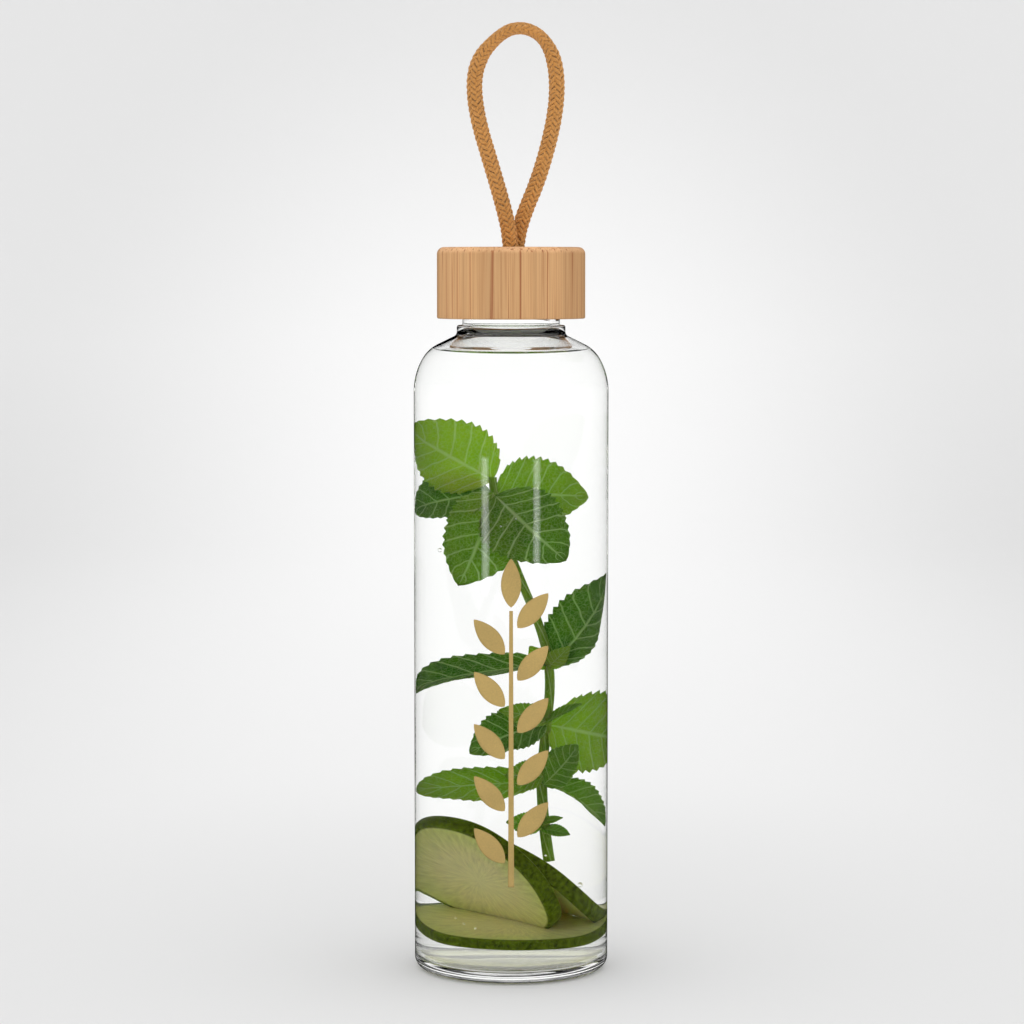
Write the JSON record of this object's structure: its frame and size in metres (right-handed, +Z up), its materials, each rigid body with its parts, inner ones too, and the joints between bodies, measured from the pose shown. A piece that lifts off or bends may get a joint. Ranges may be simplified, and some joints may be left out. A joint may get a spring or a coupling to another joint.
{
  "type": "glass water bottle",
  "caption": "Slim clear glass water bottle with a bamboo screw cap, silicone seal, braided rope carry loop and a gold leafy twig printed on the front.",
  "frame": {"origin": "centre of the foot, on the surface that the bottle stands on", "axes": "+Z up along the bottle's axis, the printed front faces -Y, +X to the right seen from the front"},
  "size_m": [0.065, 0.0651, 0.3172],
  "materials": {
    "clear_glass": "clear polished",
    "bamboo": "sanded, oiled",
    "liner_plastic": "moulded, translucent white",
    "silicone": "matte silicone",
    "cotton_rope": "braided cotton",
    "gold_print": "fired-on gold ink, satin"
  },
  "bodies": {
    "bottle": {"glass_bottle": "clear_glass", "gold_print": "gold_print"},
    "seal": {"seal_ring": "silicone"},
    "cap": {"bamboo_cap": "bamboo", "thread_liner": "liner_plastic", "rope_knot": "cotton_rope"},
    "loop": {"carry_rope": "cotton_rope"}
  },
  "joints": [
    {"name": "cap_rise", "type": "slide", "parent": "bottle", "child": "seal", "axis": [0, 0, 1], "range_m": [0, 0.012]},
    {"name": "cap_turn", "type": "hinge", "parent": "seal", "child": "cap", "pos_m": [0, 0, 0.22], "axis": [0, 0, 1], "range_deg": [0, 1080]},
    {"name": "loop_tip", "type": "hinge", "parent": "cap", "child": "loop", "pos_m": [0, 0, 0.248], "axis": [1, 0, 0], "range_deg": [-90, 90], "stiffness_Nm_per_rad": 0.008}
  ],
  "couplings": [
    {"joint": "cap_turn", "follows": "cap_rise", "rad_per_m": 1570.8}
  ]
}
